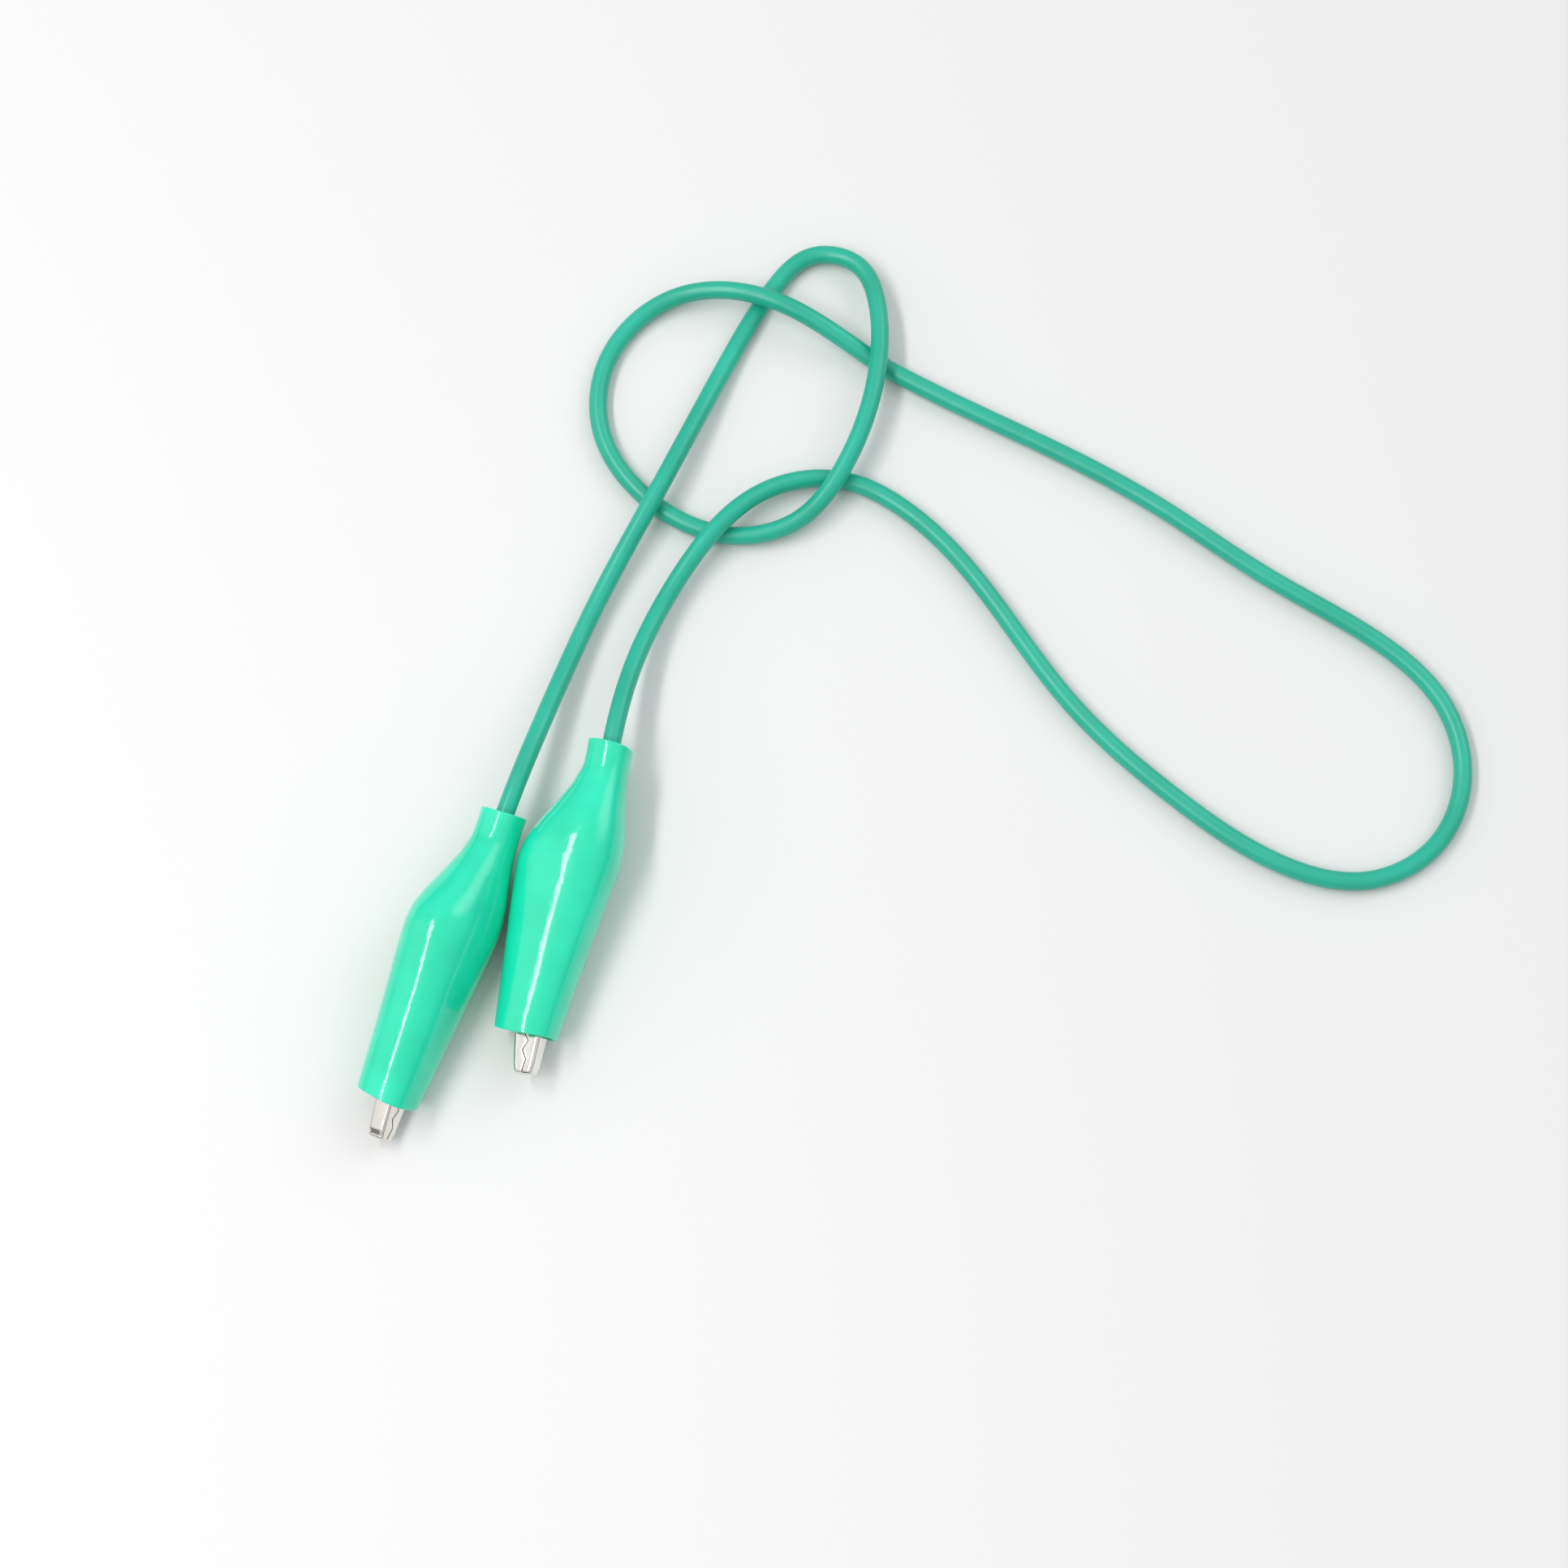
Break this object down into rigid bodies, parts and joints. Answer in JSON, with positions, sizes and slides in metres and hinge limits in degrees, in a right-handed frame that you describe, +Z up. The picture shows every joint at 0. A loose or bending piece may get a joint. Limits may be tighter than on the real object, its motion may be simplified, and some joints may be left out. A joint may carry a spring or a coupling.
{
  "type": "alligator clip lead",
  "caption": "Soft insulated test wire with a spring loaded alligator clip in a soft boot at each end, lying in one loose knot.",
  "frame": {"origin": "on the table plane, under the middle of the box round the two booted clips", "axes": "+Z up from the table, -Y towards the side that the jaws point to, +X to the right of the two clips"},
  "size_m": [0.1353, 0.1161, 0.0119],
  "materials": {
    "boot": "glossy soft PVC",
    "insulation": "satin PVC",
    "nickel": "nickel plated steel",
    "steel": "spring and rivet steel",
    "conductor": "tinned copper strands",
    "solder": "solder"
  },
  "bodies": {
    "lead": {"lead_wire": "insulation", "front_boot": "boot", "front_fixed_jaw": "nickel", "front_pivot_pin": "steel", "front_spring": "steel", "front_conductor": "conductor", "front_solder": "solder", "rear_boot": "boot", "rear_fixed_jaw": "nickel", "rear_pivot_pin": "steel", "rear_spring": "steel", "rear_conductor": "conductor", "rear_solder": "solder"},
    "front_jaw": {"front_moving_jaw": "nickel"},
    "rear_jaw": {"rear_moving_jaw": "nickel"}
  },
  "joints": [
    {"name": "front_jaw_hinge", "type": "hinge", "parent": "lead", "child": "front_jaw", "pos_m": [0.0059, 0.0003, 0.00421], "axis": [0.3433, -0.0125, -0.9391], "range_deg": [0, 26], "stiffness_Nm_per_rad": 0.0008, "springref_deg": -28.65, "deforming": ["front_spring", "front_boot"]},
    {"name": "rear_jaw_hinge", "type": "hinge", "parent": "lead", "child": "rear_jaw", "pos_m": [-0.00875, -0.0081, 0.0054], "axis": [-0.8172, 0.3469, -0.4602], "range_deg": [0, 26], "stiffness_Nm_per_rad": 0.0008, "springref_deg": -28.65, "deforming": ["rear_spring", "rear_boot"]}
  ]
}
